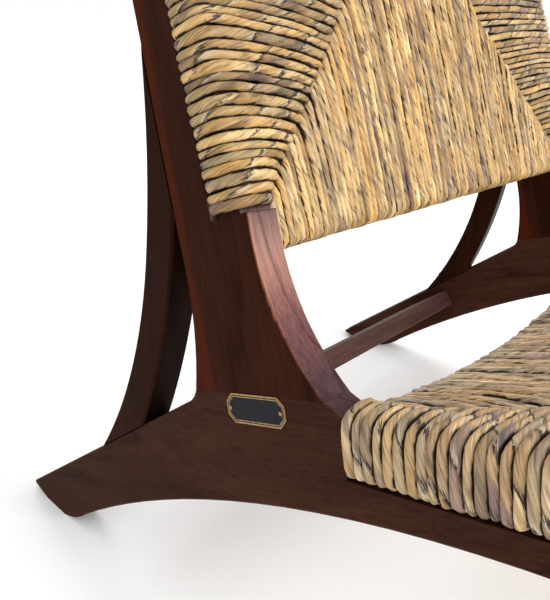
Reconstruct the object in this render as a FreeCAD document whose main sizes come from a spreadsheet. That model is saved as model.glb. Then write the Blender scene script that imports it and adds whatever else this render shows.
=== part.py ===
"""Low lounge chair: two splayed plank frames, five cross members and two woven rush panels.

+Z is up, the chair faces -Y and the sitter's left is +X. The origin is on the floor under
the middle of the whole. Outlines are drawn in the side elevation: "run" is the distance
forward of the rear toe tip and "rise" the height above the floor.
"""
import FreeCAD, Part
import Sketcher
import math
import os

SIZES = [
    ("board_thickness", 24.0),
    ("splay_angle", 7.5),
    ("rear_width", 538.7),
    ("back_rake_angle", 24.0),
    ("seat_slope_angle", 14.8),
    ("corner_run", 279.0),
    ("corner_rise", 209.9),
    ("toe_lift", 5.8),
    ("toe_length", 22.5),
    ("sole_length", 27.0),
    ("sole_round_run", 30.0),
    ("sole_round_rise", 16.7),
    ("sole_round_bulge", 2.6),
    ("heel_fillet_run", 8.1),
    ("heel_fillet_rise", 13.6),
    ("heel_fillet_bulge", 1.8),
    ("arch_end_along", 160.0),
    ("arch_bulge", 24.0),
    ("joint_slope_angle", 19.8),
    ("joint_length", 107.0),
    ("edge_lead", 12.5),
    ("edge_lead_angle", 12.8),
    ("edge_bulge", 9.75),
    ("edge_top_gap", 4.3),
    ("wrap_thickness", 5.5),
    ("seat_rush_start", 40.0),
    ("seat_rush_length", 410.0),
    ("seat_rail_depth", 21.0),
    ("seat_slot_width", 7.8),
    ("strip_depth", 17.5),
    ("nose_margin", 11.5),
    ("nose_round", 10.0),
    ("back_rush_start", 109.3),
    ("back_rush_length", 400.0),
    ("back_rail_depth", 17.5),
    ("back_slot_width", 7.75),
    ("slot_margin", 2.0),
    ("cross_zone", 28.5),
    ("cross_depth", 22.0),
    ("post_top_margin", 25.0),
    ("post_top_bulge", 11.0),
    ("post_knee_along", 95.5),
    ("post_knee_depth", 64.4),
    ("post_top_depth", 52.0),
    ("post_heel_bulge", 4.5),
    ("brace_knee_back", 132.1),
    ("brace_knee_up", 45.1),
    ("brace_width", 26.6),
    ("brace_joint_start", 117.4),
    ("brace_joint_length", 103.2),
    ("brace_low_bulge", 10.8),
    ("brace_high_bulge", 3.6),
    ("brace_inner_bulge", 4.0),
    ("leg_joint_length", 160.0),
    ("leg_toe_reach", 35.26),
    ("leg_fillet_bulge", 11.0),
    ("leg_knee_inset", 94.0),
    ("leg_knee_drop", 70.0),
    ("leg_rear_bulge", 34.4),
    ("leg_front_bulge", 6.0),
    ("seat_rear_drop", 10.0),
    ("seat_rear_dish", 32.5),
    ("seat_front_drop", 6.0),
    ("seat_front_dish", 18.0),
    ("back_low_drop", 11.0),
    ("back_low_dish", 5.0),
    ("back_top_drop", 9.0),
    ("back_top_dish", 7.0),
    ("seat_web_thickness", 28.0),
    ("back_web_thickness", 24.0),
    ("crest_drop", 6.0),
    ("seam_inset", 6.6),
    ("seat_pad", 12.0),
    ("back_pad", 5.0),
    ("seat_wrap_rise", 4.0),
    ("back_wrap_rise", 1.0),
    ("wrap_round", 5.0),
    ("rush_clearance", 0.3),
    ("stretcher_thickness", 20.0),
    ("stretcher_width", 55.0),
    ("stretcher_slope_angle", 38.5),
    ("stretcher_drop", 30.4),
    ("board_arris", 2.5),
    ("board_ease", 1.5),
    ("rail_arris", 3.0),
    ("stretcher_arris", 2.0),
    ("dowel_radius", 4.0),
    ("small_dowel_radius", 3.0),
    ("dowel_length", 40.0),
    ("small_dowel_length", 24.0),
    ("end_dowel_length", 32.0),
    ("end_dowel_inset", 12.0),
    ("end_dowel_spread", 10.0),
    ("leg_dowel_length", 30.0),
    ("plate_length", 48.0),
    ("plate_height", 18.0),
    ("plate_thickness", 0.8),
    ("plate_clip", 5.0),
    ("plate_back", 22.2),
    ("plate_down", 13.4),
    ("pin_inset", 3.2),
    ("pin_radius", 0.6),
    ("pin_depth", 6.0),
    ("pin_head_radius", 1.2),
    ("pin_head_height", 0.6),
    ("overrun", 30.0),
]

# where the brace's foot and the stretcher's front edge lie along the heel
BRACE_FOOT_SHARES = (0.53, 0.776)
STRETCHER_SHARE = 0.713
# where dowels cross their joint, and where the web of a rush panel has thinned
POST_DOWEL_SHARES = (0.2, 0.47, 0.74)
BRACE_FOOT_DOWEL_SHARES = (0.42, 0.75)
BRACE_TOP_DOWEL_SHARES = (0.12, 0.38)
LEG_DOWEL_SHARES = (0.56, 0.74, 0.92)
STRETCHER_DOWEL_SHARES = (0.25, 0.75)
THIN_WEB_SHARE = 0.25
# how much of its padding a panel shows beside its cross strands, and where it has thinned
PAD_SHARES = (0.23, 0.85)
# how near an edge's middle lies to where it is drawn, as a share of its softening
EDGE_MATCH_SHARE = 0.25

SIDES = ("left", "right")

doc = FreeCAD.newDocument("LoungeChair")


class Size:
    """A length or angle: its value now, and the expression that ties it to the sheet."""

    def __init__(self, value, text):
        self.value = value
        self.text = text

    def __add__(self, other):
        other = as_size(other)
        return Size(self.value + other.value, "(%s + %s)" % (self.text, other.text))

    def __sub__(self, other):
        other = as_size(other)
        return Size(self.value - other.value, "(%s - %s)" % (self.text, other.text))

    def __mul__(self, other):
        other = as_size(other)
        return Size(self.value * other.value, "%s * %s" % (self.text, other.text))

    def __truediv__(self, other):
        other = as_size(other)
        return Size(self.value / other.value, "%s / (%s)" % (self.text, other.text))

    def __neg__(self):
        return self * -1

    __radd__ = __add__
    __rmul__ = __mul__


def as_size(number):
    return number if isinstance(number, Size) else Size(float(number), "(%s)" % float(number))


def sine(angle):
    return Size(math.sin(math.radians(angle.value)), "sin(%s)" % angle.text)


def cosine(angle):
    return Size(math.cos(math.radians(angle.value)), "cos(%s)" % angle.text)


def tangent(angle):
    return Size(math.tan(math.radians(angle.value)), "tan(%s)" % angle.text)


def arc_tangent(slope):
    """The angle of a slope, as a plain number of degrees."""
    return Size(math.degrees(math.atan(slope.value)), "(atan(%s) / 1 deg)" % slope.text)


def make_sheet():
    """The driving dimensions, one named cell each."""
    sheet = doc.addObject("Spreadsheet::Sheet", "Sizes")
    for row, (alias, value) in enumerate(SIZES, 1):
        sheet.set("A%d" % row, alias)
        sheet.set("B%d" % row, str(value))
        sheet.setAlias("B%d" % row, alias)
    doc.recompute()
    return {alias: Size(float(sheet.get(alias)), "Sizes." + alias) for alias, _ in SIZES}


S = make_sheet()


class Frame:
    """A direction in the side elevation: points are given along it and across it."""

    def __init__(self, origin, direction, normal):
        self.origin = origin
        self.direction = direction
        self.normal = normal

    def at(self, along, across=0):
        return tuple(
            self.origin[k] + self.direction[k] * along + self.normal[k] * across for k in (0, 1)
        )


def heading(angle):
    return cosine(angle), sine(angle)


CORNER = (S["corner_run"], S["corner_rise"])
# along the seat line towards the front, across it downwards
SEAT = Frame(CORNER, heading(S["seat_slope_angle"]),
             (sine(S["seat_slope_angle"]), -cosine(S["seat_slope_angle"])))
# along the back line upwards, across it rearwards
BACK = Frame(CORNER, (-sine(S["back_rake_angle"]), cosine(S["back_rake_angle"])),
             (-cosine(S["back_rake_angle"]), -sine(S["back_rake_angle"])))

SEAT_END = S["seat_rush_start"] + S["seat_rush_length"]
BACK_END = S["back_rush_start"] + S["back_rush_length"]
NOSE = SEAT_END + S["cross_zone"] + S["nose_margin"]
POST_TOP = BACK_END + S["cross_zone"] + S["post_top_margin"]
SEAT_RAIL_LOW = S["wrap_thickness"] + S["seat_rail_depth"]
SEAT_SLOT_LOW = SEAT_RAIL_LOW + S["seat_slot_width"]
SEAT_UNDERSIDE = SEAT_SLOT_LOW + S["strip_depth"]
BACK_RAIL_REAR = S["wrap_thickness"] + S["back_rail_depth"]
BACK_SLOT_REAR = BACK_RAIL_REAR + S["back_slot_width"]
FRAME_RUN = SEAT.at(NOSE)[0] + S["leg_toe_reach"]
TIP_Y = (FRAME_RUN + S["board_thickness"] * sine(S["splay_angle"])) / 2


# drawing helpers

def arc_between(start, end, bulge):
    """The circle through two points whose belly stands out by bulge, left of travel."""
    px, py, qx, qy = start[0].value, start[1].value, end[0].value, end[1].value
    half = math.hypot(qx - px, qy - py) / 2
    belly = bulge.value
    radius = (half * half + belly * belly) / (2 * abs(belly))
    left = (-(qy - py) / (2 * half), (qx - px) / (2 * half))
    reach = belly - math.copysign(radius, belly)
    centre = FreeCAD.Vector((px + qx) / 2 + left[0] * reach, (py + qy) / 2 + left[1] * reach, 0)
    chord = [end[k] - start[k] for k in (0, 1)]
    square = chord[0] * chord[0] + chord[1] * chord[1]
    size = bulge if belly > 0 else -bulge
    bound = (square / 4 + size * size) / (size * 2)
    return centre, radius, Size(radius, bound.text)


def quarter_bulge(radius):
    """The bulge of a quarter of a circle."""
    return radius * (-cosine(as_size(45)) + 1)


def add_edge(sketch, start, end, bulge):
    """A line or arc from start to end. Returns its index and which ends come first, last."""
    if bulge is None:
        line = Part.LineSegment(FreeCAD.Vector(start[0].value, start[1].value, 0),
                                FreeCAD.Vector(end[0].value, end[1].value, 0))
        return sketch.addGeometry(line, False), 1, 2
    centre, radius, bound = arc_between(start, end, bulge)
    first = math.atan2(start[1].value - centre.y, start[0].value - centre.x)
    last = math.atan2(end[1].value - centre.y, end[0].value - centre.x)
    clockwise = bulge.value > 0
    turn = (last, first) if clockwise else (first, last)
    circle = Part.Circle(centre, FreeCAD.Vector(0, 0, 1), radius)
    index = sketch.addGeometry(Part.ArcOfCircle(circle, turn[0], turn[1]), False)
    rule = sketch.addConstraint(Sketcher.Constraint("Radius", index, radius))
    sketch.setExpression("Constraints[%d]" % rule, bound.text)
    return (index, 2, 1) if clockwise else (index, 1, 2)


def draw_outline(sketch, corners):
    """A closed outline. Each corner is (point, bulge of the edge that leaves it)."""
    edges = []
    for k, (point, bulge) in enumerate(corners):
        following = corners[(k + 1) % len(corners)][0]
        edges.append(add_edge(sketch, point, following, bulge))
    for k, (index, first, last) in enumerate(edges):
        after, after_first, _ = edges[(k + 1) % len(edges)]
        sketch.addConstraint(Sketcher.Constraint("Coincident", index, last, after, after_first))
        for axis, kind in enumerate(("DistanceX", "DistanceY")):
            place = corners[k][0][axis]
            rule = sketch.addConstraint(
                Sketcher.Constraint(kind, -1, 1, index, first, place.value))
            sketch.setExpression("Constraints[%d]" % rule, place.text)


def placed(x, y, z, *turns):
    """The text of a placement: a move, then turns given as (axis, angle in degrees)."""
    spins = ["rotation(vector(%s); %s)" % (axis, as_size(angle).text) for axis, angle in turns]
    spin = " * ".join(spins) if spins else "rotation(vector(0; 0; 1); 0)"
    move = "; ".join(as_size(part).text for part in (x, y, z))
    return "placement(vector(%s); %s)" % (move, spin)


ABOUT_X = "1; 0; 0"
ABOUT_Y = "0; 1; 0"
ABOUT_Z = "0; 0; 1"


def board_place(side):
    """Local x runs forward along the outer face, y is up and z crosses towards -X."""
    turn = S["splay_angle"] - 90 if side == "left" else -S["splay_angle"] - 90
    half = S["rear_width"] / 2
    return placed(half if side == "left" else -half, TIP_Y, 0, (ABOUT_Z, turn), (ABOUT_X, 90))


# local x across the chair, y along the line, z away from the sitter
SEAT_PLACE = placed(0, TIP_Y - S["corner_run"], S["corner_rise"],
                    (ABOUT_X, -S["seat_slope_angle"] + 180))
BACK_PLACE = placed(0, TIP_Y - S["corner_run"], S["corner_rise"],
                    (ABOUT_X, -S["back_rake_angle"] + 90), (ABOUT_Y, 180))


def on_board(point):
    """An elevation point in the plane of a splayed board."""
    return point[0] / cosine(S["splay_angle"]), point[1]


def inward(side):
    """Which way local z has to go to enter the board from its outer face."""
    return 1 if side == "left" else -1


def body_with_sketch(name, place, outlines):
    """An empty body at its place, and a sketch of closed outlines on its own XY plane."""
    body = doc.addObject("PartDesign::Body", name)
    body.setExpression("Placement", place)
    sketch = body.newObject("Sketcher::SketchObject", name + "_outline")
    plane = [item for item in body.Origin.OriginFeatures if item.Role == "XY_Plane"][0]
    sketch.AttachmentSupport = (plane, "")
    sketch.MapMode = "FlatFace"
    for corners in outlines:
        draw_outline(sketch, corners)
    return body, sketch


def pad(body, sketch, length, reverse=False):
    feature = body.newObject("PartDesign::Pad", body.Name + "_pad")
    feature.Profile = sketch
    feature.setExpression("Length", length.text)
    feature.Reversed = reverse
    feature.Refine = False
    doc.recompute()
    return feature


def soften(body, feature, kind, names, size):
    """A Fillet or Chamfer of the named edges."""
    softened = body.newObject("PartDesign::" + kind, "%s_%s" % (body.Name, kind.lower()))
    softened.Base = (feature, names)
    softened.setExpression("Radius" if kind == "Fillet" else "Size", size.text)
    doc.recompute()
    return softened


def soften_outline(body, feature, corners, soft, kind, size):
    """Soften both arrises of the outline edges whose corner numbers are in soft."""
    middles = []
    for k in soft:
        start, bulge = corners[k]
        end = corners[(k + 1) % len(corners)][0]
        middle = [(start[axis].value + end[axis].value) / 2 for axis in (0, 1)]
        if bulge is not None:
            span = math.hypot(end[0].value - start[0].value, end[1].value - start[1].value)
            middle[0] -= (end[1].value - start[1].value) / span * bulge.value
            middle[1] += (end[0].value - start[0].value) / span * bulge.value
        middles.append(middle)
    flat = [face for face in feature.Shape.Faces if abs(face.normalAt(0, 0).z) > 0.99]
    names = []
    for number, edge in enumerate(feature.Shape.Edges, 1):
        lies_flat = any(edge.isSame(other) for face in flat for other in face.Edges)
        half_way = edge.valueAt(edge.getParameterByLength(edge.Length / 2))
        near = any(math.hypot(half_way.x - x, half_way.y - y) < size.value * EDGE_MATCH_SHARE
                   for x, y in middles)
        if lies_flat and near:
            names.append("Edge%d" % number)
    return soften(body, feature, kind, names, size)


def board(name, side, corners, rounded=(), eased=(), openings=()):
    """One plank of a side frame, from its outline in the side elevation. The outline edges
    whose corner numbers are in rounded get fillets, and those in eased small chamfers."""
    flat = [(on_board(point), bulge) for point, bulge in corners]
    holes = [[(on_board(point), bulge) for point, bulge in hole] for hole in openings]
    body, sketch = body_with_sketch("%s_%s_blank" % (name, side), board_place(side), [flat] + holes)
    feature = pad(body, sketch, S["board_thickness"], reverse=side == "right")
    for numbers, kind, size in ((rounded, "Fillet", S["board_arris"]),
                                (eased, "Chamfer", S["board_ease"])):
        if numbers:
            feature = soften_outline(body, feature, flat, numbers, kind, size)
    return body


# the planks of one side frame

JOINT_FRONT = tuple(
    SEAT.at(S["seat_rush_start"] - S["slot_margin"])[k] + step * S["edge_lead"]
    for k, step in enumerate((-cosine(S["edge_lead_angle"]), sine(S["edge_lead_angle"])))
)
JOINT = Frame(JOINT_FRONT, tuple(-part for part in heading(S["joint_slope_angle"])),
              (sine(S["joint_slope_angle"]), -cosine(S["joint_slope_angle"])))
JOINT_REAR = JOINT.at(S["joint_length"])
HEEL_TOP = (JOINT_REAR[0] - S["heel_fillet_run"], JOINT_REAR[1] - S["heel_fillet_rise"])
HEEL_RISE = HEEL_TOP[1] - S["toe_lift"]
HEEL_ANGLE = arc_tangent(HEEL_RISE / HEEL_TOP[0])
BRACE_KNEE = (S["corner_run"] - S["brace_knee_back"], S["corner_rise"] + S["brace_knee_up"])
LEG_JOINT_REAR = SEAT.at(NOSE - S["leg_joint_length"], SEAT_UNDERSIDE)
LEG_JOINT_FRONT = SEAT.at(NOSE, SEAT_UNDERSIDE)


def on_heel(share):
    """A point on the straight rear edge of the base board, from its toe tip upwards."""
    return HEEL_TOP[0] * share, S["toe_lift"] + HEEL_RISE * share


BRACE_FOOT = [on_heel(share) for share in BRACE_FOOT_SHARES]
STRETCHER_FRONT = on_heel(STRETCHER_SHARE)[0], on_heel(STRETCHER_SHARE)[1] - S["stretcher_drop"]


def sole(tip_run, away):
    """Floor points of a foot, from the toe tip: away is 1 towards the front, -1 to the rear."""
    flat_start = tip_run + S["toe_length"] * away
    flat_end = flat_start + S["sole_length"] * away
    rounded = flat_end + S["sole_round_run"] * away
    nought = as_size(0)
    return (tip_run, S["toe_lift"]), (flat_start, nought), (flat_end, nought), \
        (rounded, S["sole_round_rise"])


def base_board(side):
    """Rear foot, arch and seat edge in one plank, with the slot that the rush passes."""
    tip, flat_start, flat_end, rounded = sole(as_size(0), 1)
    step = S["seat_rush_start"] - S["slot_margin"]
    far_step = SEAT_END + S["slot_margin"]
    corners = [
        (tip, None),
        (flat_start, None),
        (flat_end, -S["sole_round_bulge"]),
        (rounded, S["arch_bulge"]),
        (SEAT.at(S["arch_end_along"], SEAT_UNDERSIDE), None),
        (LEG_JOINT_REAR, None),
        (LEG_JOINT_FRONT, None),
        (SEAT.at(NOSE, S["nose_round"]), -quarter_bulge(S["nose_round"])),
        (SEAT.at(NOSE - S["nose_round"]), None),
        (SEAT.at(far_step), None),
        (SEAT.at(far_step, S["wrap_thickness"]), None),
        (SEAT.at(step, S["wrap_thickness"]), None),
        (SEAT.at(step), None),
        (JOINT_FRONT, None),
        (JOINT_REAR, S["heel_fillet_bulge"]),
        (HEEL_TOP, None),
        (BRACE_FOOT[1], None),
        (BRACE_FOOT[0], None),
    ]
    slot = [
        (SEAT.at(step, SEAT_RAIL_LOW), None),
        (SEAT.at(step, SEAT_SLOT_LOW), None),
        (SEAT.at(far_step, SEAT_SLOT_LOW), None),
        (SEAT.at(far_step, SEAT_RAIL_LOW), None),
    ]
    return board("base_board", side, corners, (6, 7, 8, 12, 14, 15, 17), (3, 4), [slot])


def post_edge(along):
    """A point on the rear edge of the post, which tapers upwards."""
    share = (along - S["post_knee_along"]) / (POST_TOP - S["post_knee_along"])
    taper = S["post_top_depth"] - S["post_knee_depth"]
    return BACK.at(along, S["post_knee_depth"] + taper * share)


def post(side):
    """The back upright, butted on the base board, with the slot of the back's rush."""
    step = S["back_rush_start"] - S["slot_margin"]
    far_step = BACK_END + S["slot_margin"]
    corners = [
        (JOINT_REAR, None),
        (JOINT_FRONT, S["edge_bulge"]),
        (BACK.at(S["back_rush_start"] - S["edge_top_gap"]), None),
        (BACK.at(step), None),
        (BACK.at(step, S["wrap_thickness"]), None),
        (BACK.at(far_step, S["wrap_thickness"]), None),
        (BACK.at(far_step), None),
        (BACK.at(POST_TOP - S["wrap_thickness"]), -S["post_top_bulge"]),
        (BACK.at(POST_TOP - S["wrap_thickness"], S["post_top_depth"]), None),
        (post_edge(S["brace_joint_start"] + S["brace_joint_length"]), None),
        (post_edge(S["brace_joint_start"]), None),
        (post_edge(S["post_knee_along"]), S["post_heel_bulge"]),
    ]
    slot = [
        (BACK.at(step, BACK_RAIL_REAR), None),
        (BACK.at(far_step, BACK_RAIL_REAR), None),
        (BACK.at(far_step, BACK_SLOT_REAR), None),
        (BACK.at(step, BACK_SLOT_REAR), None),
    ]
    return board("post", side, corners, (1, 2), (6, 7, 8, 10, 11), [slot])


def brace(side):
    """The bowed strut from the heel of the base board up to the rear edge of the post."""
    inner_knee = (BRACE_KNEE[0] + S["brace_width"], BRACE_KNEE[1])
    corners = [
        (BRACE_FOOT[0], None),
        (BRACE_FOOT[1], -S["brace_inner_bulge"]),
        (inner_knee, None),
        (post_edge(S["brace_joint_start"]), None),
        (post_edge(S["brace_joint_start"] + S["brace_joint_length"]), S["brace_high_bulge"]),
        (BRACE_KNEE, S["brace_low_bulge"]),
    ]
    return board("brace", side, corners, eased=(1, 2, 4, 5))


def front_leg(side):
    """The upright plank under the nose of the base board, with a toe like the rear one."""
    tip, flat_start, flat_end, rounded = sole(FRAME_RUN, -1)
    knee = (FRAME_RUN - S["leg_knee_inset"], LEG_JOINT_FRONT[1] - S["leg_knee_drop"])
    corners = [
        (LEG_JOINT_REAR, S["leg_fillet_bulge"]),
        (knee, S["leg_rear_bulge"]),
        (rounded, -S["sole_round_bulge"]),
        (flat_end, None),
        (flat_start, None),
        (tip, S["leg_front_bulge"]),
        (LEG_JOINT_FRONT, None),
    ]
    return board("front_leg", side, corners, eased=(0, 1, 5))


# what lies between the frames

def inner_half(run):
    """Half the distance between the inner faces of the frames."""
    face = S["board_thickness"] / cosine(S["splay_angle"])
    return S["rear_width"] / 2 + tangent(S["splay_angle"]) * run - face


def make_bay(name, clearance):
    """The whole space between the frames, less a clearance at each side."""
    rear = inner_half(-S["overrun"]) - clearance
    front = inner_half(FRAME_RUN + S["overrun"]) - clearance
    rear_y = TIP_Y + S["overrun"]
    front_y = TIP_Y - FRAME_RUN - S["overrun"]
    corners = [((-rear, rear_y), None), ((-front, front_y), None),
               ((front, front_y), None), ((rear, rear_y), None)]
    body, sketch = body_with_sketch(name, placed(0, 0, 0), [corners])
    pad(body, sketch, POST_TOP + S["corner_rise"])
    return body


def two_shapes(kind, name, first, second):
    """A Part::Cut, Part::Common or Part::Fuse of two objects."""
    result = doc.addObject("Part::" + kind, name)
    result.Base = first
    result.Tool = second
    return result


def grouped(name, items):
    group = doc.addObject("Part::Compound", name)
    group.Links = items
    return group


def long_edges(feature, least):
    return ["Edge%d" % k for k, edge in enumerate(feature.Shape.Edges, 1) if edge.Length > least]


def soften_long_edges(body, feature, least, kind, size):
    soften(body, feature, kind, long_edges(feature, least.value), size)


def cross_place(place, along):
    """Local x across the chair, y away from the sitter and -z along the line."""
    return "%s * %s" % (place, placed(0, along, 0, (ABOUT_X, 90)))


# each cross rail: its frame and place, where it starts, its drop and its dish
RAILS = {
    "seat_rear_rail": (SEAT, SEAT_PLACE, S["seat_rush_start"] - S["cross_zone"],
                       S["seat_rear_drop"], S["seat_rear_dish"]),
    "seat_front_rail": (SEAT, SEAT_PLACE, SEAT_END,
                        S["seat_front_drop"], S["seat_front_dish"]),
    "back_low_rail": (BACK, BACK_PLACE, S["back_rush_start"] - S["cross_zone"],
                      S["back_low_drop"], S["back_low_dish"]),
    "back_top_rail": (BACK, BACK_PLACE, BACK_END,
                      S["back_top_drop"], S["back_top_dish"]),
}


def bar_reach(frame, along, drop):
    """Half the length of a cross rail before the frames cut it."""
    back = drop + S["wrap_thickness"] + S["cross_depth"]
    return inner_half(frame.at(along, back)[0]) + S["board_thickness"]


def cross_rail(name, space):
    """A bent rail between the frames, its middle further from the sitter by dish."""
    frame, place, along, drop, dish = RAILS[name]
    face = drop + S["wrap_thickness"]
    back = face + S["cross_depth"]
    reach = bar_reach(frame, along, drop)
    corners = [((-reach, face), dish), ((reach, face), None),
               ((reach, back), -dish), ((-reach, back), None)]
    start = along + S["wrap_thickness"]
    width = S["cross_zone"] - S["wrap_thickness"] * 2
    body, sketch = body_with_sketch(name + "_bar", cross_place(place, start), [corners])
    feature = pad(body, sketch, width, reverse=True)
    soften_long_edges(body, feature, reach, "Chamfer", S["rail_arris"])
    return two_shapes("Common", name + "_blank", body, space)


def rear_stretcher(space):
    """The plank between the two heels, lying along the slope of the heels."""
    slope = S["stretcher_slope_angle"]
    line = Frame(STRETCHER_FRONT, heading(slope), (-sine(slope), cosine(slope)))
    half = S["stretcher_thickness"] / 2
    corners = [(line.at(0, half), None), (line.at(-S["stretcher_width"], half), None),
               (line.at(-S["stretcher_width"], -half), None), (line.at(0, -half), None)]
    reach = inner_half(STRETCHER_FRONT[0]) + S["board_thickness"]
    place = placed(reach, TIP_Y, 0, (ABOUT_Z, -90), (ABOUT_X, 90))
    body, sketch = body_with_sketch("rear_stretcher_bar", place, [corners])
    feature = pad(body, sketch, reach * 2)
    soften_long_edges(body, feature, reach, "Fillet", S["stretcher_arris"])
    return two_shapes("Common", "rear_stretcher_blank", body, space)


# the woven rush

def web_section(name, frame, place, along, inset, level):
    """One cross section of a woven panel. level holds the drop and dish of its face, the
    depths of its top and low side edges, and its thickness."""
    drop, dish, edge_top, edge_low, thickness = level
    reach = inner_half(frame.at(along, drop)[0])
    seam = reach - inset
    share = seam / reach
    face = drop + dish - dish * share * share
    belly = dish * share * share
    low = face + thickness
    corners = [((-reach, edge_top), None), ((-seam, face), belly), ((seam, face), None),
               ((reach, edge_top), None), ((reach, edge_low), None), ((seam, low), -belly),
               ((-seam, low), None), ((-reach, edge_low), None)]
    sketch = doc.addObject("Sketcher::SketchObject", name)
    sketch.setExpression("Placement", cross_place(place, along))
    draw_outline(sketch, corners)
    return sketch


def web(name, start, length, ends, form):
    """The panel between the frames: a ruled loft whose seams start beside the side sleeves
    and run at 45 degrees from there."""
    frame, place, _, drop_a, dish_a = RAILS[ends[0]]
    drop_b, dish_b = RAILS[ends[1]][3:]
    rail_low, rise, pad_height, web_thickness = form
    wrap = S["wrap_thickness"]
    full = S["cross_depth"] + wrap * 2
    zone = S["cross_zone"]
    span = length + zone * 2
    thin = full - wrap
    low = rail_low + wrap - S["crest_drop"]

    def level(drop, dish, thickness):
        """Between the sleeves and a cross rail the sides are as high as the rail."""
        return drop, dish, drop, drop + thickness, thickness

    def crested(drop, dish, share, thickness):
        """Beside the sleeves the sides reach up to them and the padding lifts the face."""
        return drop - pad_height * share, dish, S["crest_drop"] - rise, low, thickness

    middle = (drop_a + drop_b) / 2, (dish_a + dish_b) / 2
    stations = [
        (as_size(0), level(drop_a + wrap / 2, dish_a, thin)),
        (wrap, level(drop_a, dish_a, full)),
        (zone, level(drop_a, dish_a, full)),
        (zone + wrap, crested(drop_a, dish_a, PAD_SHARES[0], full)),
        (zone + length * THIN_WEB_SHARE, crested(drop_a, dish_a, PAD_SHARES[1], web_thickness)),
        (span / 2, crested(*middle, 1, web_thickness)),
        (span - zone - length * THIN_WEB_SHARE,
         crested(drop_b, dish_b, PAD_SHARES[1], web_thickness)),
        (span - zone - wrap, crested(drop_b, dish_b, PAD_SHARES[0], full)),
        (span - zone, level(drop_b, dish_b, full)),
        (span - wrap, level(drop_b, dish_b, full)),
        (span, level(drop_b + wrap / 2, dish_b, thin)),
    ]
    sections = []
    for k, (far, shape) in enumerate(stations):
        near_end = far if far.value <= span.value / 2 else span - far
        inset = S["seam_inset"]
        if near_end.value > zone.value:
            inset = near_end - zone + S["seam_inset"]
        sections.append(web_section("%s_section_%d" % (name, k), frame, place,
                                    start - zone + far, inset, shape))
    loft = doc.addObject("Part::Loft", name)
    loft.Sections = sections
    loft.Solid = True
    loft.Ruled = True
    return loft


def side_wrap(name, side, frame, start, length, rail_low, rise):
    """The rush wound round the slotted rail of one plank, as one sleeve."""
    wrap = S["wrap_thickness"]
    low = rail_low + wrap
    corners = [(on_board(point), None) for point in (
        frame.at(start, -rise), frame.at(start, low), frame.at(start + length, low),
        frame.at(start + length, -rise))]
    place = "%s * %s" % (board_place(side), placed(0, 0, -wrap * inward(side)))
    body, sketch = body_with_sketch("%s_%s" % (name, side), place, [corners])
    feature = pad(body, sketch, S["board_thickness"] + wrap * 2, reverse=side == "right")
    soften_long_edges(body, feature, length / 2, "Fillet", S["wrap_round"])
    return body


def rush_panel(name, start, length, ends, form, space, carriers):
    """The web and its two side sleeves as one piece, round the wood that carries it. form
    holds the depth of the slotted rail's underside, how far the sleeves stand above the
    line, the height of the padding and the thickness of the web."""
    middle = two_shapes("Common", name + "_middle",
                        web(name + "_web", start, length, ends, form), space)
    sleeves = [side_wrap(name + "_sleeve", side, RAILS[ends[0]][0], start, length, *form[:2])
               for side in SIDES]
    whole = doc.addObject("Part::MultiFuse", name + "_whole")
    whole.Shapes = [middle] + sleeves
    return two_shapes("Cut", name, whole, grouped(name + "_carriers", carriers))


# dowels, plate and pins

def dowel(name, place, radius, length):
    item = doc.addObject("Part::Cylinder", name)
    item.setExpression("Radius", radius.text)
    item.setExpression("Height", length.text)
    item.setExpression("Placement", place)
    return item


def joint_dowels(name, side, start, end, shares, angle, radius, length):
    """Dowels in the middle of a plank's thickness, across the joint from start to end."""
    middle = S["board_thickness"] / 2 * inward(side)
    items = []
    for k, share in enumerate(shares):
        x, y = on_board(tuple(start[axis] + (end[axis] - start[axis]) * share for axis in (0, 1)))
        place = "%s * %s * %s" % (
            board_place(side), placed(x, y, middle, (ABOUT_Z, angle), (ABOUT_Y, 90)),
            placed(0, 0, -length / 2))
        items.append(dowel("%s_%s_%d" % (name, side, k), place, radius, length))
    return items


def plank_dowels(side):
    """The dowels between the planks of one frame, by group."""
    return {
        "post_dowels": joint_dowels(
            "post_dowel", side, JOINT_REAR, JOINT_FRONT, POST_DOWEL_SHARES,
            S["joint_slope_angle"] + 90, S["dowel_radius"], S["dowel_length"]),
        "brace_foot_dowels": joint_dowels(
            "brace_foot_dowel", side, BRACE_FOOT[0], BRACE_FOOT[1], BRACE_FOOT_DOWEL_SHARES,
            HEEL_ANGLE + 90, S["small_dowel_radius"], S["small_dowel_length"]),
        "brace_top_dowels": joint_dowels(
            "brace_top_dowel", side, post_edge(S["brace_joint_start"]),
            post_edge(S["brace_joint_start"] + S["brace_joint_length"]), BRACE_TOP_DOWEL_SHARES,
            -S["back_rake_angle"], S["small_dowel_radius"], S["small_dowel_length"]),
        "front_leg_dowels": joint_dowels(
            "front_leg_dowel", side, LEG_JOINT_REAR, LEG_JOINT_FRONT, LEG_DOWEL_SHARES,
            S["seat_slope_angle"] + 90, S["dowel_radius"], S["leg_dowel_length"]),
    }


END_GRIP = S["end_dowel_length"] - S["end_dowel_inset"]


def end_dowels(name, side, points, radius):
    """Dowels square to a plank, out of its inner face into the end of a cross member. The
    points are where the middles of their outer parts lie in the side elevation."""
    lean = sine(S["splay_angle"]) * (S["board_thickness"] + END_GRIP / 2)
    sunk = S["board_thickness"] - S["end_dowel_inset"]
    depth = sunk if side == "left" else -sunk - S["end_dowel_length"]
    items = []
    for k, (run, rise) in enumerate(points):
        x, y = on_board((run - lean, rise))
        place = "%s * %s" % (board_place(side), placed(x, y, depth))
        items.append(dowel("%s_%s_%d" % (name, side, k), place, radius, S["end_dowel_length"]))
    return items


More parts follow.
